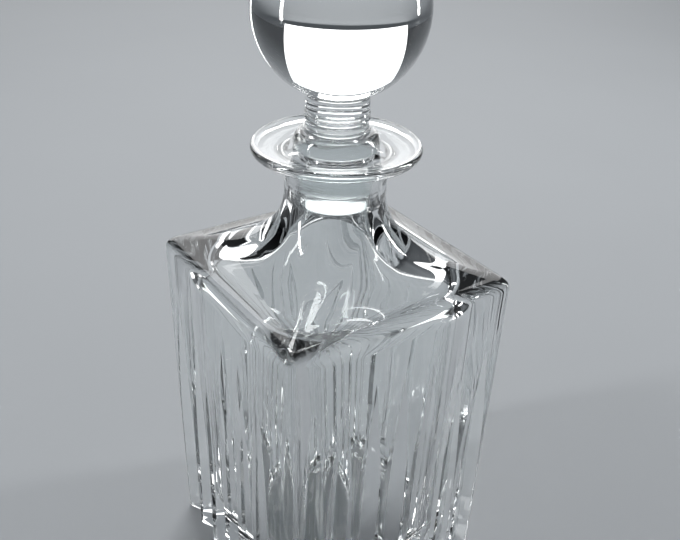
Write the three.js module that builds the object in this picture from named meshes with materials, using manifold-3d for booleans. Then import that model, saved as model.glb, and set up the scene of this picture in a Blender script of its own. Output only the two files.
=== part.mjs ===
// A square cut-crystal decanter with a ball stopper, in millimetres, +Z up.
// The origin is the middle of the base, and the four cut faces look along X and Y.
import * as THREE from "three";
import Module from "manifold-3d";

// Body, a square section with rounded corners that widens a little towards the shoulder
const BODY_WIDTH = 92.8; // across the flats at the shoulder
const BODY_TAPER = 1.4; // how much further in each face stands at the base
const SHOULDER_HEIGHT = 136.6; // where wall and shoulder would meet if the edge were sharp
const SHOULDER_ROUNDING = 3; // from that sharp edge to where the rounding starts
const SHOULDER_SLOPE = 0.3; // rise over run, just inside the edge
const SHOULDER_RUN = 0.08; // how much of the way to the neck the shoulder keeps its slope
const SHOULDER_RISE = 29.4; // from the sharp edge up to the plain neck
const SHOULDER_SWEEP = 27.2; // how far down the neck's side the curve starts to leave it
const CORNER_RADIUS = 3.5; // of the upright edges
const HIP_FADE = 0.71; // the hips fade over this share of the way from the neck out to the edge
const BASE_CHAMFER = 1.2;

// Inside, left round and soft by the blowing
const WALL = 7;
const FLOOR = 15;
const SHOULDER_WALL = 6.5;
const THROAT_SWEEP = 20; // how far below the bore its curve starts to leave it
const INNER_CORNER = 24;
const FLOOR_ROUNDING = 12;

// V-cut flutes: they rise to a sharp tip, as a wheel leaves them, and meet in ridges lower down
const FLUTES_PER_FACE = 7;
const FLUTE_MARGIN = 2; // uncut glass beside the outermost flute at the base
const FLUTE_ANGLE = 118; // included angle of the V, in degrees
const FLUTE_TIP_DROP = 21.6; // from the sharp shoulder edge down to the tips
const FLUTE_RUN = 77; // from the tip down to where the cut has its full depth
const FLUTE_OVERCUT = 2; // how far the cutting wedge stands out of the face
const FLUTE_STEPS = 9;

// Neck and collar
const NECK_WALL = 4.1; // round the top of the bore
const NECK_LENGTH = 9.5; // plain round part under the collar
const COLLAR_REACH = 11.4; // beyond the neck
const COLLAR_FLARE = 3.8; // height of the curve under the collar
const COLLAR_EDGE = 3.4; // thickness of its half-round edge
const DISH_DEPTH = 1.9; // how far the mouth lies below the collar's rim
const MOUTH_ROUNDING = 0.8;

// Stopper
const PEG_RADIUS = 13.4; // at the skirt
const PEG_TAPER = 1; // how much slimmer its end is
const PEG_LENGTH = 20.4;
const PEG_ROUNDING = 2;
const PEG_CLEARANCE = 0.3; // all round the peg and under the skirt
const SKIRT_OVERHANG = 1.4; // beyond the peg
const SKIRT_EDGE = 0.4;
const SKIRT_RIM = 1.6; // height of the upright rim under the bell
const SKIRT_HEIGHT = 6.2;
const STEM_RADIUS = 10.7;
const STEM_LENGTH = 12.6; // from the skirt to where the stem's side meets the ball
const STEM_FLARE = 1.6; // size of the curve from the stem into the ball
const RING_HEIGHTS = [0.7, 4.2, 6.1]; // above the skirt
const RING_REACHES = [0.8, 0.4, 0.3]; // how far each ring stands proud of the stem
const RING_WIDTH = 1.3;
const BALL_RADIUS = 28.6;

const CORNER_STEPS = 8;
const CURVE_STEPS = 4;
const MOUTH_STEPS = 2;
const SHOULDER_STEPS = 9;
const ROUND_STEPS = 36;
const BALL_STEPS = 18;

// Heights and widths that follow from those sizes
const topHalf = BODY_WIDTH / 2;
const baseHalf = topHalf - BODY_TAPER;
const pegEndRadius = PEG_RADIUS - PEG_TAPER;
const boreTopRadius = PEG_RADIUS + PEG_CLEARANCE;
const boreEndRadius = pegEndRadius + PEG_CLEARANCE;
const neckRadius = boreTopRadius + NECK_WALL;
const collarRadius = neckRadius + COLLAR_REACH;
const skirtRadius = PEG_RADIUS + SKIRT_OVERHANG;
const neckBase = SHOULDER_HEIGHT + SHOULDER_RISE;
const neckTop = neckBase + NECK_LENGTH;
const rimBottom = neckTop + COLLAR_FLARE;
const rimTop = rimBottom + COLLAR_EDGE;
const seat = rimTop - DISH_DEPTH;
const skirtBottom = seat + PEG_CLEARANCE;
const pegEnd = skirtBottom - PEG_LENGTH;
const boreEnd = pegEnd - PEG_CLEARANCE;
const stemBottom = skirtBottom + SKIRT_HEIGHT;
const stemTop = stemBottom + STEM_LENGTH;
const ballCentre = stemTop + Math.sqrt(BALL_RADIUS ** 2 - STEM_RADIUS ** 2);

const wallHalf = (z) => baseHalf + (BODY_TAPER * z) / SHOULDER_HEIGHT;
const innerHalf = (z) => wallHalf(z) - WALL;

// One closed ring of a rounded square, or a regular polygon where the corners take up the whole side.
function roundedSquare(half, corner) {
  const step = Math.PI / 2 / (CORNER_STEPS + 1);
  const reach = half - corner;
  return [0, 1, 2, 3].flatMap((quarter) => {
    const turn = (quarter * Math.PI) / 2;
    const centre = new THREE.Vector2(reach, reach).rotateAround(new THREE.Vector2(), turn);
    const from = turn + step / 2;
    const to = turn + Math.PI / 2 - step / 2;
    const arc = new THREE.EllipseCurve(centre.x, centre.y, corner, corner, from, to);
    return arc.getPoints(CORNER_STEPS);
  });
}

// A closed skin through rings of the same number of points, each { points, z }, with a fan at both ends.
function loft(rings) {
  const count = rings[0].points.length;
  const positions = [];
  for (const { points, z } of rings) {
    for (const point of points) positions.push(point.x, point.y, z);
  }
  for (const { points, z } of [rings[0], rings.at(-1)]) {
    const middle = points.reduce((sum, point) => sum.add(point), new THREE.Vector2()).divideScalar(count);
    positions.push(middle.x, middle.y, z);
  }
  const firstMiddle = rings.length * count;
  const lastRing = (rings.length - 1) * count;
  const index = [];
  for (let i = 0; i < count; i++) {
    const next = (i + 1) % count;
    index.push(firstMiddle, next, i, firstMiddle + 1, lastRing + i, lastRing + next);
    for (let base = 0; base < lastRing; base += count) {
      const above = base + count;
      index.push(base + i, base + next, above + next, base + i, above + next, above + i);
    }
  }
  const geometry = new THREE.BufferGeometry();
  geometry.setAttribute("position", new THREE.Float32BufferAttribute(positions, 3));
  geometry.setIndex(index);
  return geometry;
}

// Rings for the points (half width, height) of a profile, with the corner radius that cornerAt gives.
function ringsAlong(points, cornerAt) {
  return points.map((point) => ({ points: roundedSquare(point.x, cornerAt(point.x)), z: point.y }));
}

const curvePoints = (curve, steps) => curve.getPoints(steps).slice(1);
const at = (x, y) => new THREE.Vector2(x, y);

// Base, wall, shoulder edge and the concave shoulder up to the neck
function outsideProfile() {
  const edgeBottom = SHOULDER_HEIGHT - SHOULDER_ROUNDING;
  const edge = at(wallHalf(edgeBottom), edgeBottom);
  const inner = topHalf - SHOULDER_ROUNDING;
  const shoulder = at(inner, SHOULDER_HEIGHT + SHOULDER_ROUNDING * SHOULDER_SLOPE);
  const run = (inner - neckRadius) * SHOULDER_RUN;
  const leave = at(inner - run, shoulder.y + run * SHOULDER_SLOPE);
  const sweep = at(neckRadius, neckBase - SHOULDER_SWEEP);
  const neck = at(neckRadius, neckBase);
  const rounding = new THREE.QuadraticBezierCurve(edge, at(topHalf, SHOULDER_HEIGHT), shoulder);
  const panel = new THREE.CubicBezierCurve(shoulder, leave, sweep, neck);
  return [
    at(baseHalf - BASE_CHAMFER, 0),
    at(baseHalf, BASE_CHAMFER),
    edge,
    ...curvePoints(rounding, CURVE_STEPS),
    ...curvePoints(panel, SHOULDER_STEPS),
  ];
}

// The upright edges run on up the hips and then fade out, until the section is round at the neck.
function outsideCorner(half) {
  const reach = (topHalf - SHOULDER_ROUNDING - neckRadius) * HIP_FADE;
  const share = THREE.MathUtils.smoothstep(half, neckRadius, neckRadius + reach);
  return THREE.MathUtils.lerp(neckRadius, CORNER_RADIUS, share);
}

// Neck, collar, dished mouth and the tapered bore that holds the peg
function mouthProfile() {
  const edgeRadius = COLLAR_EDGE / 2;
  const edgeMiddle = collarRadius - edgeRadius;
  const lip = boreTopRadius + MOUTH_ROUNDING;
  const rim = [rimBottom + edgeRadius, edgeRadius, edgeRadius, -Math.PI / 2, Math.PI / 2];
  const under = new THREE.QuadraticBezierCurve(
    at(neckRadius, neckTop),
    at(neckRadius, rimBottom),
    at(edgeMiddle, rimBottom),
  );
  const dish = new THREE.QuadraticBezierCurve(
    at(edgeMiddle, rimTop),
    at((edgeMiddle + lip) / 2, seat),
    at(lip, seat),
  );
  const mouth = new THREE.QuadraticBezierCurve(
    at(lip, seat),
    at(boreTopRadius, seat),
    at(boreTopRadius, seat - MOUTH_ROUNDING),
  );
  return [
    at(neckRadius, neckTop),
    ...curvePoints(under, CURVE_STEPS),
    ...curvePoints(new THREE.EllipseCurve(edgeMiddle, ...rim), 2 * CURVE_STEPS),
    ...curvePoints(dish, CURVE_STEPS),
    ...curvePoints(mouth, MOUTH_STEPS),
    at(boreEndRadius, boreEnd),
  ];
}

// Throat, vault under the shoulder, wall and rounded floor
function insideProfile() {
  const roof = SHOULDER_HEIGHT - SHOULDER_WALL;
  const bore = at(boreEndRadius, boreEnd);
  const throat = at(bore.x, bore.y - THROAT_SWEEP);
  const inner = innerHalf(roof) - SHOULDER_ROUNDING;
  const vaultEdge = at(inner, roof + SHOULDER_ROUNDING * SHOULDER_SLOPE);
  const run = (inner - bore.x) * SHOULDER_RUN;
  const leave = at(inner - run, vaultEdge.y + run * SHOULDER_SLOPE);
  const wallTop = at(innerHalf(roof - SHOULDER_ROUNDING), roof - SHOULDER_ROUNDING);
  const vault = new THREE.CubicBezierCurve(bore, throat, leave, vaultEdge);
  const bend = new THREE.QuadraticBezierCurve(vaultEdge, at(innerHalf(roof), roof), wallTop);
  const footHeight = FLOOR + FLOOR_ROUNDING;
  const foot = at(innerHalf(footHeight), footHeight);
  const floor = new THREE.QuadraticBezierCurve(foot, at(foot.x, FLOOR), at(foot.x - FLOOR_ROUNDING, FLOOR));
  return [
    ...curvePoints(vault, SHOULDER_STEPS),
    ...curvePoints(bend, CURVE_STEPS),
    foot,
    ...curvePoints(floor, CURVE_STEPS),
  ];
}

function blank() {
  return loft([
    ...ringsAlong(outsideProfile(), outsideCorner),
    ...ringsAlong(mouthProfile(), (half) => half),
    ...ringsAlong(insideProfile(), (half) => Math.min(half, INNER_CORNER)),
  ]);
}

// The wedge that cuts one flute in the face that looks along -Y, centred on x.
function fluteWedge(x, fullWidth) {
  const spread = Math.tan(THREE.MathUtils.degToRad(FLUTE_ANGLE / 2));
  const fullDepth = fullWidth / 2 / spread;
  const tip = SHOULDER_HEIGHT - FLUTE_TIP_DROP;
  const drops = [FLUTE_RUN + tip]; // well below the base, whatever the run
  for (let i = FLUTE_STEPS; i >= -1; i--) drops.push((FLUTE_RUN * i) / FLUTE_STEPS);
  const rings = drops.map((drop) => {
    const share = Math.min(drop / FLUTE_RUN, 1);
    const depth = fullDepth * (1 - (1 - share) ** 2);
    const z = tip - drop;
    const half = (depth + FLUTE_OVERCUT) * spread;
    const front = -wallHalf(z) - FLUTE_OVERCUT;
    return { points: [at(x - half, front), at(x + half, front), at(x, -wallHalf(z) + depth)], z };
  });
  return loft(rings);
}

const wasm = await Module();
wasm.setup();

function toSolid(geometry) {
  const vertProperties = new Float32Array(geometry.attributes.position.array);
  const triVerts = new Uint32Array(geometry.index.array);
  return new wasm.Manifold(new wasm.Mesh({ numProp: 3, vertProperties, triVerts }));
}

function toGeometry(solid) {
  const { vertProperties, triVerts } = solid.getMesh();
  const geometry = new THREE.BufferGeometry();
  geometry.setAttribute("position", new THREE.Float32BufferAttribute(vertProperties, 3));
  geometry.setIndex([...triVerts]);
  geometry.computeVertexNormals();
  return geometry;
}

function bottleGeometry() {
  const pitch = (2 * baseHalf - 2 * FLUTE_MARGIN) / FLUTES_PER_FACE;
  let glass = toSolid(blank());
  for (let face = 0; face < 4; face++) {
    for (let i = 0; i < FLUTES_PER_FACE; i++) {
      const x = (i - (FLUTES_PER_FACE - 1) / 2) * pitch;
      const wedge = fluteWedge(x, pitch).rotateZ((face * Math.PI) / 2);
      glass = glass.subtract(toSolid(wedge));
    }
  }
  return toGeometry(glass);
}

// The stem's side, with its turned rings, from the skirt up to the curve under the ball
function stemProfile() {
  const half = RING_WIDTH / 2;
  const flat = half / 3; // the ring's own top, as turned
  return RING_HEIGHTS.flatMap((height, i) => {
    const z = stemBottom + height;
    return [
      at(STEM_RADIUS, z - half),
      at(STEM_RADIUS + RING_REACHES[i], z - flat),
      at(STEM_RADIUS + RING_REACHES[i], z + flat),
      at(STEM_RADIUS, z + half),
    ];
  });
}

function stopperGeometry() {
  const pegFoot = new THREE.QuadraticBezierCurve(
    at(pegEndRadius - PEG_ROUNDING, pegEnd),
    at(pegEndRadius, pegEnd),
    at(pegEndRadius, pegEnd + PEG_ROUNDING),
  );
  const bellBottom = skirtBottom + SKIRT_RIM;
  const bellReach = [skirtRadius - STEM_RADIUS, stemBottom - bellBottom];
  const bell = new THREE.EllipseCurve(STEM_RADIUS, bellBottom, ...bellReach, 0, Math.PI / 2);
  const ballStart = -Math.acos((STEM_RADIUS + STEM_FLARE) / BALL_RADIUS);
  const ball = new THREE.EllipseCurve(0, ballCentre, BALL_RADIUS, BALL_RADIUS, ballStart, Math.PI / 2);
  const underBall = new THREE.QuadraticBezierCurve(
    at(STEM_RADIUS, stemTop - STEM_FLARE),
    at(STEM_RADIUS, stemTop),
    ball.getPoint(0),
  );
  const profile = [
    at(0, pegEnd),
    ...pegFoot.getPoints(CURVE_STEPS),
    at(PEG_RADIUS, skirtBottom),
    at(skirtRadius - SKIRT_EDGE, skirtBottom),
    at(skirtRadius, skirtBottom + SKIRT_EDGE),
    ...bell.getPoints(CURVE_STEPS),
    ...stemProfile(),
    ...underBall.getPoints(CURVE_STEPS),
    ...curvePoints(ball, BALL_STEPS).slice(0, -1),
    at(0, ballCentre + BALL_RADIUS),
  ];
  return new THREE.LatheGeometry(profile, ROUND_STEPS).rotateX(Math.PI / 2);
}

function piece(name, geometry, material) {
  const mesh = new THREE.Mesh(geometry, new THREE.MeshStandardMaterial(material));
  mesh.name = name;
  return mesh;
}

const decanter = new THREE.Group();
decanter.add(piece("bottle", bottleGeometry(), { color: 0xdfe6e8, roughness: 0.03, metalness: 0 }));
decanter.add(piece("stopper", stopperGeometry(), { color: 0xe6ebec, roughness: 0.05, metalness: 0 }));

export default decanter;
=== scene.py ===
"""A cut lead crystal decanter with a ball stopper, modelled and finished round its CAD frame, in metres."""

import math

import bpy
import numpy as np
from bpy.props import FloatProperty, FloatVectorProperty, IntProperty, PointerProperty
from mathutils import Matrix, Vector


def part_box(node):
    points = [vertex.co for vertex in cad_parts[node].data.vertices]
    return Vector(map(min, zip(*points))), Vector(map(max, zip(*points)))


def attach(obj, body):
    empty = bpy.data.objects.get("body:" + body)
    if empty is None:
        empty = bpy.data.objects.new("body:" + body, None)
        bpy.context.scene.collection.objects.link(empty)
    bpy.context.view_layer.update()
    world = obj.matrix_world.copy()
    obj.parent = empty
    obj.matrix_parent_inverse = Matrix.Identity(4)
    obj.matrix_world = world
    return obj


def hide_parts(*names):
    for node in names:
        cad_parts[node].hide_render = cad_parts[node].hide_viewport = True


bl_info = {
    "name": "Cut Crystal Decanter",
    "version": (1, 0, 0),
    "blender": (4, 5, 0),
    "location": "3D View > Sidebar > Decanter",
    "description": "Models the bottle and ball stopper of a cut crystal decanter, and its studio stage",
    "category": "Object",
}

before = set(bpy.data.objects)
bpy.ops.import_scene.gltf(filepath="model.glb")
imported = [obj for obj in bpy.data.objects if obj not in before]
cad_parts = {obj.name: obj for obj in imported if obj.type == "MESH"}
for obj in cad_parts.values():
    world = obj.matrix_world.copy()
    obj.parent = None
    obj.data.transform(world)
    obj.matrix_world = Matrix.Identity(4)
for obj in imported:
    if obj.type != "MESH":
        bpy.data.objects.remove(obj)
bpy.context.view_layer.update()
STOPPER_LOW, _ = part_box("stopper")
MM = 0.001
QUARTER_TURN = math.pi / 2

BOTTLE_COLUMNS, STOPPER_COLUMNS = 240, 144
CORNER_CROWDING = 9  # how much closer the columns stand round a tight corner
LEAST_FLAT = 1e-9  # keeps a wholly round section from dividing by nothing
FLUTE_STEPS, FLUTE_OVERCUT = 40, 1 * MM
WHEEL_SPARE = 1.12  # the wheel goes on past the tip, so that it leaves the face
WELD_DISTANCE = 0.001 * MM
BOTTLE_SHARP_ANGLE, STOPPER_SHARP_ANGLE = math.radians(20), math.radians(40)
INSIDE_WAVE_LENGTH, INSIDE_WAVE_DEPTH = 34 * MM, 0.35 * MM

CRYSTAL_IOR = 1.545  # lead crystal
POLISH_WAVE_LENGTH, POLISH_WAVE_DEPTH = 16 * MM, 0.015 * MM
GRINDING_LINE_SPACING, GRINDING_LINE_DEPTH, GRINDING_ROUGHNESS = 0.9 * MM, 0.05 * MM, 0.08

FLOOR_SIZE, FLOOR_DROP = 12, 0.3 * MM  # a hair under the base, so that the two faces don't coincide
FLOOR_DRIFT_SCALE, FLOOR_DRIFT, FLOOR_ROUGHNESS = 6.0, 1.05, 0.75
LIGHT_AIM = Vector((0, 0, 0.12))
SOFTBOXES = {  # place and size in metres, power in watts
    "back": ((0.85, 1.45, 0.8), (2.2, 1.6), 21),
    "overhead": ((0.3, 0.55, 1.1), (0.6, 0.3), 10),
    "left": ((-0.95, 0.35, 0.45), (0.1, 0.9), 8),
    "right": ((1.05, -0.3, 0.5), (0.1, 0.9), 8),
}
DOME_LOW, DOME_HIGH, DOME_SPAN, DOME_STRENGTH = "#33363A", "#A8ADB2", (0.02, 0.85), 0.7
GLASS_BOUNCES, GLOSSY_BOUNCES = 24, 8  # light crosses many walls of glass before it comes out

SENSOR_WIDTH, LENS_LENGTH = 36, 44.15
CAMERA_AIM, CAMERA_DISTANCE = Vector((0.0023, -0.0016, 0.1323)), 0.3066
CAMERA_AZIMUTH, CAMERA_ELEVATION, CAMERA_ROLL = (math.radians(a) for a in (-35.08, 30.09, 2.22))


# ---------------------------------------------------------------- sizes and colours


def linear(hex_colour):
    """Turns an sRGB hex colour to the linear values that a shader takes."""
    channels = [int(hex_colour[i : i + 2], 16) / 255 for i in (1, 3, 5)]
    return [c / 12.92 if c <= 0.04045 else ((c + 0.055) / 1.055) ** 2.4 for c in channels]


def length(name, description, default):
    """A size in metres, from a default in millimetres."""
    return FloatProperty(name=name, description=description, default=default * MM, min=0, unit="LENGTH")


def colour(name, description, default):
    """A colour, from a default in sRGB hex."""
    return FloatVectorProperty(name=name, description=description, default=linear(default), subtype="COLOR")


class BottleSizes(bpy.types.PropertyGroup):
    body_width: length("Body Width", "Across the flats at the shoulder", 92.8)
    body_taper: length("Body Taper", "How much further in each face stands at the base", 1.4)
    shoulder_height: length("Shoulder Height", "Where wall and shoulder would meet if sharp", 136.6)
    shoulder_rounding: length("Shoulder Rounding", "Reach of the rounded shoulder edge", 3)
    shoulder_rise: length("Shoulder Rise", "From the shoulder edge up to the plain neck", 29.4)
    corner_radius: length("Corner Radius", "Of the four upright edges", 3.5)
    hip_fade: FloatProperty(
        name="Hip Fade",
        description="The hips fade over this share of the way from the neck out",
        default=0.71,
    )
    base_chamfer: length("Base Chamfer", "Round the foot", 1.2)
    wall: length("Wall", "Glass between the faces and the inside", 7)
    floor: length("Floor", "Thickness of the base", 15)
    neck_radius: length("Neck Radius", "Outside the plain neck", 17.8)
    bore_radius: length("Bore Radius", "At the mouth", 13.7)
    bore_taper: length("Bore Taper", "How much narrower the bore is at its end", 1)
    flute_angle: FloatProperty(
        name="Flute Angle",
        description="Included angle of a V cut",
        default=math.radians(118),
        subtype="ANGLE",
    )
    flute_run: length("Flute Run", "From a flute's tip down to its full depth", 77)
    flute_tip_drop: length("Flute Tip Drop", "From the shoulder edge down to the tips", 21.6)
    flute_margin: length("Flute Margin", "Uncut glass beside the outermost flute", 2)
    flutes_per_face: IntProperty(name="Flutes", description="V cuts on each face", default=7, min=1)


class StopperSizes(bpy.types.PropertyGroup):
    ball_radius: length("Ball Radius", "Of the solid ball", 28.6)
    stem_radius: length("Stem Radius", "Under the ball", 10.7)
    stem_length: length("Stem Length", "From the skirt to the ball", 12.6)
    skirt_radius: length("Skirt Radius", "Of the bell that covers the mouth", 14.8)
    skirt_height: length("Skirt Height", "Of the bell", 6.2)
    peg_radius: length("Peg Radius", "At the skirt", 13.4)
    peg_taper: length("Peg Taper", "How much slimmer the peg's end is", 1)
    peg_length: length("Peg Length", "Of the ground peg", 20.4)


class DecanterColours(bpy.types.PropertyGroup):
    crystal: colour("Crystal", "Tint of the polished lead crystal", "#FCFEFE")
    ground: colour("Ground Glass", "Tint of the ground peg and bore", "#F4F8F8")
    floor: colour("Floor", "Plain studio floor", "#85888B")


# ---------------------------------------------------------------- outlines, as (radius, height)


def bezier(points, steps):
    """The points of a Bezier curve of any degree, without its first one."""
    found = []
    for step in range(1, steps + 1):
        share, level = step / steps, [Vector(p) for p in points]
        while len(level) > 1:
            level = [a.lerp(b, share) for a, b in zip(level, level[1:])]
        found.append(tuple(level[0]))
    return found


def arc(centre, radii, start, end, steps):
    """The points of an ellipse's arc, angles in radians, without its first one."""
    angles = [start + (end - start) * step / steps for step in range(1, steps + 1)]
    return [(centre[0] + radii[0] * math.cos(a), centre[1] + radii[1] * math.sin(a)) for a in angles]


def line(start, end, steps):
    """Points from start to end, without the first one."""
    return bezier([start, end], steps)


class BottleShape:
    """The bottle's outline in three stretches, each with the rule for its section's corner radius."""

    foot_steps, edge_steps, panel_steps, wall_steps = 4, 10, 30, 10
    neck_steps, collar_steps, rim_steps, lip_steps, bore_steps = 4, 14, 20, 6, 8
    floor_steps, floor_disc = 4, 1 / 3  # the last ring of the floor stands at this share of its flat
    shoulder_slope, shoulder_run = 0.3, 0.08
    shoulder_sweep, throat_sweep = 27.2 * MM, 20 * MM
    shoulder_wall, inner_corner, floor_rounding = 6.5 * MM, 24 * MM, 12 * MM
    vault_rounding = 5 * MM
    neck_length, collar_reach, collar_flare = 9.5 * MM, 11.4 * MM, 3.8 * MM
    collar_edge, dish_depth, mouth_rounding = 3.4 * MM, 1.9 * MM, 0.8 * MM
    peg_clearance = 0.3 * MM

    def __init__(self, sizes):
        self.s = sizes
        self.top_half = sizes.body_width / 2
        self.base_half = self.top_half - sizes.body_taper
        self.neck_base = sizes.shoulder_height + sizes.shoulder_rise
        self.neck_top = self.neck_base + self.neck_length
        self.rim_bottom = self.neck_top + self.collar_flare
        self.rim_top = self.rim_bottom + self.collar_edge
        self.seat = self.rim_top - self.dish_depth
        self.bore_end = STOPPER_LOW.z - self.peg_clearance
        self.bore_end_radius = sizes.bore_radius - sizes.bore_taper

    def wall_half(self, z):
        """Half the body's width at height z, before the flutes are cut."""
        return self.base_half + self.s.body_taper * z / self.s.shoulder_height

    def inner_half(self, z):
        """Half the cavity's width at height z."""
        return self.wall_half(z) - self.s.wall

    def outside(self):
        """Base chamfer, wall, shoulder edge and the concave shoulder up to the neck."""
        s, reach = self.s, self.s.shoulder_rounding
        edge_z = s.shoulder_height - reach
        edge = (self.wall_half(edge_z), edge_z)
        inner = self.top_half - reach
        shoulder = (inner, s.shoulder_height + reach * self.shoulder_slope)
        run = (inner - s.neck_radius) * self.shoulder_run
        leave = (inner - run, shoulder[1] + run * self.shoulder_slope)
        sweep = (s.neck_radius, self.neck_base - self.shoulder_sweep)
        neck = (s.neck_radius, self.neck_base)
        foot = (self.base_half, s.base_chamfer)
        start = (self.base_half - s.base_chamfer, 0)
        return [
            start,
            *bezier([start, (self.base_half, 0), foot], self.foot_steps),
            *line(foot, edge, self.wall_steps),
            *bezier([edge, (self.top_half, s.shoulder_height), shoulder], self.edge_steps),
            *bezier([shoulder, leave, sweep, neck], self.panel_steps),
        ]

    def outside_corner(self, half):
        """The upright edges run up the hips and fade out, until the section is round at the neck."""
        s = self.s
        reach = (self.top_half - s.shoulder_rounding - s.neck_radius) * s.hip_fade
        share = min(max((half - s.neck_radius) / reach, 0), 1)
        return s.neck_radius + (s.corner_radius - s.neck_radius) * share * share * (3 - 2 * share)

    def mouth(self):
        """Neck, collar, dished mouth and tapered bore, all round."""
        s, half_edge = self.s, self.collar_edge / 2
        edge_middle = s.neck_radius + self.collar_reach - half_edge
        lip = s.bore_radius + self.mouth_rounding
        neck_top = (s.neck_radius, self.neck_top)
        under = [neck_top, (s.neck_radius, self.rim_bottom), (edge_middle, self.rim_bottom)]
        rim_centre = (edge_middle, self.rim_bottom + half_edge)
        dish = [(edge_middle, self.rim_top), ((edge_middle + lip) / 2, self.seat), (lip, self.seat)]
        bore_top = (s.bore_radius, self.seat - self.mouth_rounding)
        bore_end = (self.bore_end_radius, self.bore_end)
        return [
            *line((s.neck_radius, self.neck_base), neck_top, self.neck_steps),
            *bezier(under, self.collar_steps),
            *arc(rim_centre, (half_edge, half_edge), -QUARTER_TURN, QUARTER_TURN, self.rim_steps),
            *bezier(dish, self.collar_steps),
            *bezier([(lip, self.seat), (s.bore_radius, self.seat), bore_top], self.lip_steps),
            *line(bore_top, bore_end, self.bore_steps),
        ]

    def inside(self):
        """Throat, vault under the shoulder, wall and rounded floor."""
        s, reach = self.s, self.vault_rounding
        roof = s.shoulder_height - self.shoulder_wall
        bore = (self.bore_end_radius, self.bore_end)
        throat = (bore[0], bore[1] - self.throat_sweep)
        inner = self.inner_half(roof) - reach
        edge = (inner, roof + reach * self.shoulder_slope)
        run = (inner - bore[0]) * self.shoulder_run
        leave = (inner - run, edge[1] + run * self.shoulder_slope)
        wall_top = (self.inner_half(roof - reach), roof - reach)
        foot_z = s.floor + self.floor_rounding
        foot = (self.inner_half(foot_z), foot_z)
        floor = (foot[0] - self.floor_rounding, s.floor)
        return [
            *bezier([bore, throat, leave, edge], self.panel_steps),
            *bezier([edge, (self.inner_half(roof), roof), wall_top], 2 * self.edge_steps),
            *line(wall_top, foot, self.wall_steps),
            *bezier([foot, (foot[0], s.floor), floor], self.edge_steps),
            *line(floor, (floor[0] * self.floor_disc, s.floor), self.floor_steps),
        ]

    def inside_corner(self, half):
        """The cavity's corners are wide, and the throat is round."""
        return min(half, self.inner_corner)


# ---------------------------------------------------------------- modelling with operators


def only(piece):
    """Makes piece the one selected and active object."""
    bpy.ops.object.select_all(action="DESELECT")
    piece.select_set(True)
    bpy.context.view_layer.objects.active = piece


def turn_up(name, outline, columns):
    """Extrudes a disc along an outline of (radius, height), as on a lathe, into one closed skin.

    Ring number k of the skin holds the vertices from k * columns on.
    """
    bpy.ops.object.select_all(action="DESELECT")
    radius, z = outline[0]
    bpy.ops.mesh.primitive_circle_add(vertices=columns, radius=radius, fill_type="NGON", location=(0, 0, z))
    piece = bpy.context.object
    piece.name = piece.data.name = name
    bpy.ops.object.transform_apply()
    bpy.ops.object.mode_set(mode="EDIT")
    for (r0, z0), (r1, z1) in zip(outline, outline[1:]):
        bpy.ops.mesh.extrude_region_move(TRANSFORM_OT_translate={"value": (0, 0, z1 - z0)})
        bpy.ops.transform.resize(value=(r1 / r0, r1 / r0, 1), center_override=(0, 0, z1))
    bpy.ops.mesh.select_all(action="SELECT")
    bpy.ops.mesh.normals_make_consistent(inside=False)
    bpy.ops.object.mode_set(mode="OBJECT")
    return piece


def use_modifier(piece, kind, **settings):
    """Adds a modifier with its settings and applies it."""
    only(piece)
    modifier = piece.modifiers.new(kind, kind)
    for key, value in settings.items():
        setattr(modifier, key, value)
    bpy.ops.object.modifier_apply(modifier=modifier.name)


def square_section(half, corner, turns):
    """Points of a square with round corners at each turn about its middle, crowded towards the corners.

    It is a circle where the corner takes up the whole half width.
    """
    flat = half - corner
    crowding = 1 + CORNER_CROWDING * (flat / half) ** 2
    share = flat / (flat + crowding * corner * math.pi / 4)
    quarter = np.round(turns / QUARTER_TURN)
    local = turns - quarter * QUARTER_TURN
    reach = np.abs(local) / (QUARTER_TURN / 2)
    along_flat = np.sin(QUARTER_TURN * np.clip(reach / max(share, LEAST_FLAT), 0, 1)) * flat
    bend = np.clip((reach - share) / (1 - share), 0, 1) * QUARTER_TURN / 2
    x = flat + corner * np.cos(bend)
    y = np.sign(local) * (along_flat + corner * np.sin(bend))
    c, s = np.cos(quarter * QUARTER_TURN), np.sin(quarter * QUARTER_TURN)
    return np.stack([c * x - s * y, s * x + c * y], axis=1)


def press_square(piece, outline, corners, columns):
    """Presses each ring of a turned blank into its square section, as the mould does."""
    points = np.empty(len(piece.data.vertices) * 3, np.float32)
    piece.data.vertices.foreach_get("co", points)
    rings = points.reshape(-1, columns, 3)
    turns = np.arctan2(rings[0, :, 1], rings[0, :, 0])
    for ring, (half, _), corner in zip(rings, outline, corners):
        ring[:, :2] = square_section(half, corner, turns)
    piece.data.vertices.foreach_set("co", rings.ravel())
    piece.data.update()


def settle(piece, body, node, smooth_angle):
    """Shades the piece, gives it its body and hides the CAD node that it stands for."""
    only(piece)
    bpy.ops.object.shade_smooth_by_angle(angle=smooth_angle, keep_sharp_edges=False)
    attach(piece, body)
    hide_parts(node)


# ---------------------------------------------------------------- materials


def add_node(tree, kind, links=None, **settings):
    """Adds a node, sets its properties and sockets, and links its sockets to the outputs given."""
    node = tree.nodes.new(kind)
    for key, value in settings.items():
        if key in node.inputs:
            node.inputs[key].default_value = value
        else:
            setattr(node, key, value)
    for socket, output in (links or {}).items():
        tree.links.new(output, node.inputs[socket])
    return node


def new_material(name):
    """An empty node material and its tree."""
    material = bpy.data.materials.new(name)
    material.use_nodes = True
    material.node_tree.nodes.clear()
    return material, material.node_tree


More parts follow.
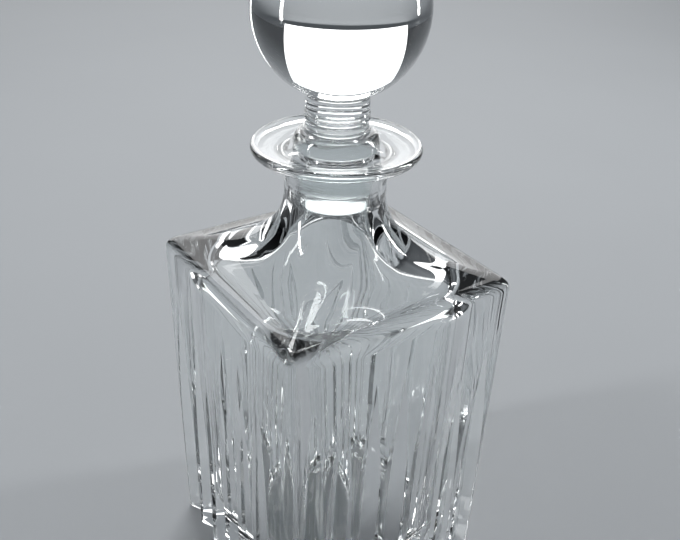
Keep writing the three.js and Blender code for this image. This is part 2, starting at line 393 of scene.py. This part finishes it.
def polished_crystal(colours):
    """Lead crystal, fire-polished and acid-polished after cutting: clear, heavy refraction, a mirror skin."""
    material, tree = new_material("polished_lead_crystal")
    place = add_node(tree, "ShaderNodeTexCoord").outputs["Object"]
    ripple = add_node(tree, "ShaderNodeTexNoise", {"Vector": place}, Scale=1 / POLISH_WAVE_LENGTH, Detail=1.0)
    skin = add_node(
        tree, "ShaderNodeBump", {"Height": ripple.outputs["Fac"]}, Strength=1.0, Distance=POLISH_WAVE_DEPTH
    )
    glass = add_node(
        tree,
        "ShaderNodeBsdfPrincipled",
        {"Normal": skin.outputs["Normal"]},
        **{
            "Base Color": (*colours.crystal, 1),
            "Roughness": 0.0,
            "IOR": CRYSTAL_IOR,
            "Transmission Weight": 1.0,
        },
    )
    add_node(tree, "ShaderNodeOutputMaterial", {"Surface": glass.outputs["BSDF"]})
    return material


def ground_crystal(colours):
    """The same crystal, ground to fit and then polished: fine level lines, almost clear."""
    material, tree = new_material("ground_lead_crystal")
    place = add_node(tree, "ShaderNodeTexCoord").outputs["Object"]
    parts = add_node(tree, "ShaderNodeSeparateXYZ", {"Vector": place})
    height = add_node(tree, "ShaderNodeCombineXYZ", {"Z": parts.outputs["Z"]})
    lines = add_node(
        tree,
        "ShaderNodeTexNoise",
        {"Vector": height.outputs["Vector"]},
        Scale=1 / GRINDING_LINE_SPACING,
        Detail=3.0,
    )
    skin = add_node(
        tree, "ShaderNodeBump", {"Height": lines.outputs["Fac"]}, Strength=1.0, Distance=GRINDING_LINE_DEPTH
    )
    glass = add_node(
        tree,
        "ShaderNodeBsdfPrincipled",
        {"Normal": skin.outputs["Normal"]},
        **{
            "Base Color": (*colours.ground, 1),
            "Roughness": GRINDING_ROUGHNESS,
            "IOR": CRYSTAL_IOR,
            "Transmission Weight": 1.0,
        },
    )
    add_node(tree, "ShaderNodeOutputMaterial", {"Surface": glass.outputs["BSDF"]})
    return material


def studio_floor(colours):
    """Matt painted board: even, with a faint drift in tone."""
    material, tree = new_material("matt_painted_board")
    place = add_node(tree, "ShaderNodeTexCoord").outputs["Object"]
    drift = add_node(tree, "ShaderNodeTexNoise", {"Vector": place}, Scale=FLOOR_DRIFT_SCALE, Detail=2.0)
    pale = [min(c * FLOOR_DRIFT, 1) for c in colours.floor]
    tone = add_node(tree, "ShaderNodeMix", {"Factor": drift.outputs["Fac"]}, data_type="RGBA")
    tone.inputs["A"].default_value = (*colours.floor, 1)
    tone.inputs["B"].default_value = (*pale, 1)
    board = add_node(
        tree,
        "ShaderNodeBsdfPrincipled",
        {"Base Color": tone.outputs["Result"]},
        Roughness=FLOOR_ROUGHNESS,
    )
    add_node(tree, "ShaderNodeOutputMaterial", {"Surface": board.outputs["BSDF"]})
    return material


# ---------------------------------------------------------------- operators


class DECANTER_OT_bottle(bpy.types.Operator):
    """Turns the bottle, presses its body square and cuts its flutes"""

    bl_idname = "decanter.bottle"
    bl_label = "Bottle"

    still_rings = 4  # where the inside leaves the ground bore

    def execute(self, context):
        sizes = context.scene.decanter_bottle
        shape = BottleShape(sizes)
        outside, mouth, inside = shape.outside(), shape.mouth(), shape.inside()
        outline = [*outside, *mouth, *inside]
        corners = [
            *(shape.outside_corner(half) for half, _ in outside),
            *(half for half, _ in mouth),
            *(shape.inside_corner(half) for half, _ in inside),
        ]
        piece = turn_up("crystal_bottle", outline, BOTTLE_COLUMNS)
        press_square(piece, outline, corners, BOTTLE_COLUMNS)
        self.ripple_inside(piece, len(outside) + len(mouth))
        for cutter in self.flute_cutters(shape):
            use_modifier(piece, "BOOLEAN", operation="DIFFERENCE", solver="MANIFOLD", object=cutter)
            bpy.data.objects.remove(cutter)
        piece.data.materials.clear()
        piece.data.materials.append(polished_crystal(context.scene.decanter_colours))
        piece.data.materials.append(ground_crystal(context.scene.decanter_colours))
        bore_top, bore_end = shape.seat - shape.mouth_rounding, shape.bore_end
        for face in piece.data.polygons:
            x, y, z = face.center
            if bore_end < z < bore_top and math.hypot(x, y) < sizes.bore_radius:
                face.material_index = 1
        settle(piece, "bottle", "bottle", BOTTLE_SHARP_ANGLE)
        return {"FINISHED"}

    def ripple_inside(self, piece, first_ring):
        """The inside was shaped by breath alone, so it is a little uneven."""
        group = piece.vertex_groups.new(name="inside")
        first = (first_ring + self.still_rings) * BOTTLE_COLUMNS
        group.add(range(first, len(piece.data.vertices)), 1, "REPLACE")
        waves = bpy.data.textures.new("breath", "CLOUDS")
        waves.noise_scale = INSIDE_WAVE_LENGTH
        use_modifier(
            piece,
            "DISPLACE",
            texture=waves,
            texture_coords="LOCAL",
            vertex_group=group.name,
            strength=INSIDE_WAVE_DEPTH,
            mid_level=0.5,
        )

    def flute_cutters(self, shape):
        """Two sets of V wheels' paths, so that no two paths in one set touch."""
        sizes = shape.s
        pitch = 2 * (shape.base_half - sizes.flute_margin) / sizes.flutes_per_face
        spread = math.tan(sizes.flute_angle / 2)
        depth = pitch / 2 / spread
        wheel = (sizes.flute_run**2 / depth + depth) / 2
        full_z = sizes.shoulder_height - sizes.flute_tip_drop - sizes.flute_run
        low_z = -FLUTE_OVERCUT
        half = (depth + FLUTE_OVERCUT) * spread

        bpy.ops.object.select_all(action="DESELECT")
        bpy.ops.mesh.primitive_circle_add(vertices=3, radius=1, fill_type="NGON")
        wedge = bpy.context.object
        corners = [(-half, -FLUTE_OVERCUT, low_z), (half, -FLUTE_OVERCUT, low_z), (0, depth, low_z)]
        for vertex, corner in zip(wedge.data.vertices, corners):
            vertex.co = corner
        bpy.ops.object.mode_set(mode="EDIT")
        bpy.ops.mesh.select_all(action="SELECT")
        bpy.ops.mesh.extrude_region_move(TRANSFORM_OT_translate={"value": (0, 0, full_z - low_z)})
        bpy.ops.mesh.spin(
            steps=FLUTE_STEPS,
            angle=-WHEEL_SPARE * math.asin(sizes.flute_run / wheel),
            center=(0, depth - wheel, full_z),
            axis=(1, 0, 0),
        )
        bpy.ops.mesh.select_all(action="SELECT")
        bpy.ops.mesh.remove_doubles(threshold=WELD_DISTANCE)
        bpy.ops.mesh.normals_make_consistent(inside=False)
        bpy.ops.object.mode_set(mode="OBJECT")
        lean = Matrix.Rotation(math.atan(sizes.body_taper / sizes.shoulder_height), 4, "X")
        place = Matrix.Translation((0, -shape.base_half, 0)) @ lean
        found = []
        for first in (0, 1):
            copies = []
            for quarter in range(4):
                for i in range(first, sizes.flutes_per_face, 2):
                    x = (i - (sizes.flutes_per_face - 1) / 2) * pitch
                    copy = wedge.copy()
                    copy.data = wedge.data.copy()
                    turn = Matrix.Rotation(quarter * QUARTER_TURN, 4, "Z")
                    copy.data.transform(turn @ Matrix.Translation((x, 0, 0)) @ place)
                    bpy.context.scene.collection.objects.link(copy)
                    copies.append(copy)
            only(copies[0])
            for copy in copies:
                copy.select_set(True)
            bpy.ops.object.join()
            found.append(bpy.context.object)
        bpy.data.objects.remove(wedge)
        return found


class DECANTER_OT_stopper(bpy.types.Operator):
    """Turns the ball stopper with its stem, skirt and ground peg"""

    bl_idname = "decanter.stopper"
    bl_label = "Stopper"

    ring_heights = (0.7 * MM, 4.2 * MM, 6.1 * MM)
    ring_reaches = (0.8 * MM, 0.4 * MM, 0.3 * MM)
    ring_half_width, ring_half_steps = 0.75 * MM, 8
    foot_rings, peg_foot_steps, peg_steps, under_skirt_steps = 6, 8, 16, 3
    skirt_edge_steps, skirt_steps, bell_steps, stem_steps, flare_steps, ball_steps = 8, 2, 14, 6, 10, 96
    unground_top = 0.5 * MM  # the peg stays polished just under the skirt
    peg_rounding, skirt_edge, skirt_rim, stem_flare = 2 * MM, 0.4 * MM, 1.6 * MM, 1.6 * MM

    def execute(self, context):
        outline = self.outline(context.scene.decanter_stopper)
        piece = turn_up("crystal_stopper", outline, STOPPER_COLUMNS)
        piece.data.materials.clear()
        piece.data.materials.append(polished_crystal(context.scene.decanter_colours))
        piece.data.materials.append(ground_crystal(context.scene.decanter_colours))
        peg_low, peg_high = self.peg_span
        for face in piece.data.polygons:
            if peg_low < face.center.z < peg_high:
                face.material_index = 1
        settle(piece, "stopper", "stopper", STOPPER_SHARP_ANGLE)
        return {"FINISHED"}

    def outline(self, s):
        """From the peg's end up to the top of the ball."""
        foot = STOPPER_LOW.z
        end_radius = s.peg_radius - s.peg_taper
        skirt_z = foot + s.peg_length
        stem_z = skirt_z + s.skirt_height
        stem_top = stem_z + s.stem_length
        ball_z = stem_top + math.sqrt(s.ball_radius**2 - s.stem_radius**2)
        self.peg_span = (foot + self.peg_rounding, skirt_z - self.unground_top)

        foot_radius, rounding_z = end_radius - self.peg_rounding, foot + self.peg_rounding
        peg_foot = [(foot_radius, foot), (end_radius, foot), (end_radius, rounding_z)]
        bell_z = skirt_z + self.skirt_rim
        bell_radii = (s.skirt_radius - s.stem_radius, stem_z - bell_z)
        bell = arc((s.stem_radius, bell_z), bell_radii, 0, QUARTER_TURN, self.bell_steps)
        half_steps = self.ring_half_steps
        rings = [
            (
                s.stem_radius + reach * (0.5 + 0.5 * math.cos(math.pi * step / half_steps)),
                stem_z + height + self.ring_half_width * step / half_steps,
            )
            for height, reach in zip(self.ring_heights, self.ring_reaches)
            for step in range(-half_steps, half_steps + 1)
        ]
        ball_start = -math.acos((s.stem_radius + self.stem_flare) / s.ball_radius)
        ball_foot = (s.ball_radius * math.cos(ball_start), ball_z + s.ball_radius * math.sin(ball_start))
        flare = (s.stem_radius, stem_top - self.stem_flare)
        ball_radii = (s.ball_radius, s.ball_radius)
        ball = arc((0, ball_z), ball_radii, ball_start, QUARTER_TURN, self.ball_steps)[:-1]
        skirt_inner, skirt_edge_z = s.skirt_radius - self.skirt_edge, skirt_z + self.skirt_edge
        edge_radii = (self.skirt_edge, self.skirt_edge)
        return [
            *((foot_radius * k / self.foot_rings, foot) for k in range(1, self.foot_rings)),
            peg_foot[0],
            *bezier(peg_foot, self.peg_foot_steps),
            *line(peg_foot[-1], (s.peg_radius, skirt_z), self.peg_steps),
            *line((s.peg_radius, skirt_z), (skirt_inner, skirt_z), self.under_skirt_steps),
            *arc((skirt_inner, skirt_edge_z), edge_radii, -QUARTER_TURN, 0, self.skirt_edge_steps),
            *line((s.skirt_radius, skirt_edge_z), (s.skirt_radius, bell_z), self.skirt_steps),
            *bell[:-1],
            *rings,
            *line(rings[-1], flare, self.stem_steps),
            *bezier([flare, (s.stem_radius, stem_top), ball_foot], self.flare_steps),
            *ball,
        ]


class DECANTER_OT_stage(bpy.types.Operator):
    """Sets the floor, the soft lights, the dome and the camera"""

    bl_idname = "decanter.stage"
    bl_label = "Stage"

    def execute(self, context):
        scene = context.scene
        bpy.ops.object.select_all(action="DESELECT")
        bpy.ops.mesh.primitive_plane_add(size=FLOOR_SIZE, location=(0, 0, -FLOOR_DROP))
        floor = context.object
        floor.name = floor.data.name = "floor"
        bpy.ops.object.transform_apply()
        floor.data.materials.append(studio_floor(scene.decanter_colours))
        for name, (place, size, power) in SOFTBOXES.items():
            self.softbox(name, place, size, power)
        self.dome(scene)
        self.camera(scene)
        scene.view_settings.view_transform = "Standard"
        scene.cycles.max_bounces = GLASS_BOUNCES
        scene.cycles.transmission_bounces = GLASS_BOUNCES
        scene.cycles.glossy_bounces = GLOSSY_BOUNCES
        return {"FINISHED"}

    def softbox(self, name, place, size, power):
        """A soft rectangle of light that faces the decanter."""
        data = bpy.data.lights.new(name, "AREA")
        data.shape = "RECTANGLE"
        data.size, data.size_y = size
        data.energy = power
        lamp = bpy.data.objects.new(name, data)
        away = Vector(place) - LIGHT_AIM
        lamp.matrix_world = Matrix.Translation(place) @ away.to_track_quat("Z", "Y").to_matrix().to_4x4()
        bpy.context.scene.collection.objects.link(lamp)

    def dome(self, scene):
        """A studio's walls: dim near the ground and brighter overhead."""
        world = scene.world = bpy.data.worlds.new("studio_dome")
        world.use_nodes = True
        tree = world.node_tree
        tree.nodes.clear()
        place = add_node(tree, "ShaderNodeTexCoord").outputs["Generated"]
        parts = add_node(tree, "ShaderNodeSeparateXYZ", {"Vector": place})
        ramp = add_node(tree, "ShaderNodeValToRGB", {"Fac": parts.outputs["Z"]})
        ramp.color_ramp.interpolation = "EASE"
        low, high = ramp.color_ramp.elements
        low.position, high.position = DOME_SPAN
        low.color, high.color = (*linear(DOME_LOW), 1), (*linear(DOME_HIGH), 1)
        sky = add_node(tree, "ShaderNodeBackground", {"Color": ramp.outputs["Color"]}, Strength=DOME_STRENGTH)
        add_node(tree, "ShaderNodeOutputWorld", {"Surface": sky.outputs["Background"]})

    def camera(self, scene):
        """A camera that looks at CAMERA_AIM from its azimuth and elevation."""
        data = bpy.data.cameras.new("camera")
        data.sensor_width, data.lens = SENSOR_WIDTH, LENS_LENGTH
        camera = bpy.data.objects.new("camera", data)
        camera.matrix_world = (
            Matrix.Translation(CAMERA_AIM)
            @ Matrix.Rotation(CAMERA_AZIMUTH, 4, "Z")
            @ Matrix.Rotation(QUARTER_TURN - CAMERA_ELEVATION, 4, "X")
            @ Matrix.Rotation(CAMERA_ROLL, 4, "Z")
            @ Matrix.Translation((0, 0, CAMERA_DISTANCE))
        )
        scene.collection.objects.link(camera)
        scene.camera = camera


class DECANTER_PT_panel(bpy.types.Panel):
    """Lists the decanter's sizes, colours and pieces"""

    bl_idname = "DECANTER_PT_panel"
    bl_label = "Decanter"
    bl_space_type = "VIEW_3D"
    bl_region_type = "UI"
    bl_category = "Decanter"

    def draw(self, context):
        for group in ("decanter_bottle", "decanter_stopper", "decanter_colours"):
            box, sizes = self.layout.box(), getattr(context.scene, group)
            for name in sizes.__annotations__:
                box.prop(sizes, name)
        for operator in PIECES:
            self.layout.operator(operator.bl_idname)


GROUPS = {
    "decanter_bottle": BottleSizes,
    "decanter_stopper": StopperSizes,
    "decanter_colours": DecanterColours,
}
PIECES = (DECANTER_OT_bottle, DECANTER_OT_stopper, DECANTER_OT_stage)
CLASSES = (*GROUPS.values(), *PIECES, DECANTER_PT_panel)


def register():
    """Registers every class and puts the sizes and colours on the scene."""
    for cls in CLASSES:
        bpy.utils.register_class(cls)
    for name, group in GROUPS.items():
        setattr(bpy.types.Scene, name, PointerProperty(type=group))


def unregister():
    """Undoes register."""
    for name in GROUPS:
        delattr(bpy.types.Scene, name)
    for cls in reversed(CLASSES):
        bpy.utils.unregister_class(cls)


def main():
    """Makes the stage and both pieces."""
    register()
    bpy.ops.decanter.stage()
    bpy.ops.decanter.bottle()
    bpy.ops.decanter.stopper()


if __name__ == "__main__":
    main()
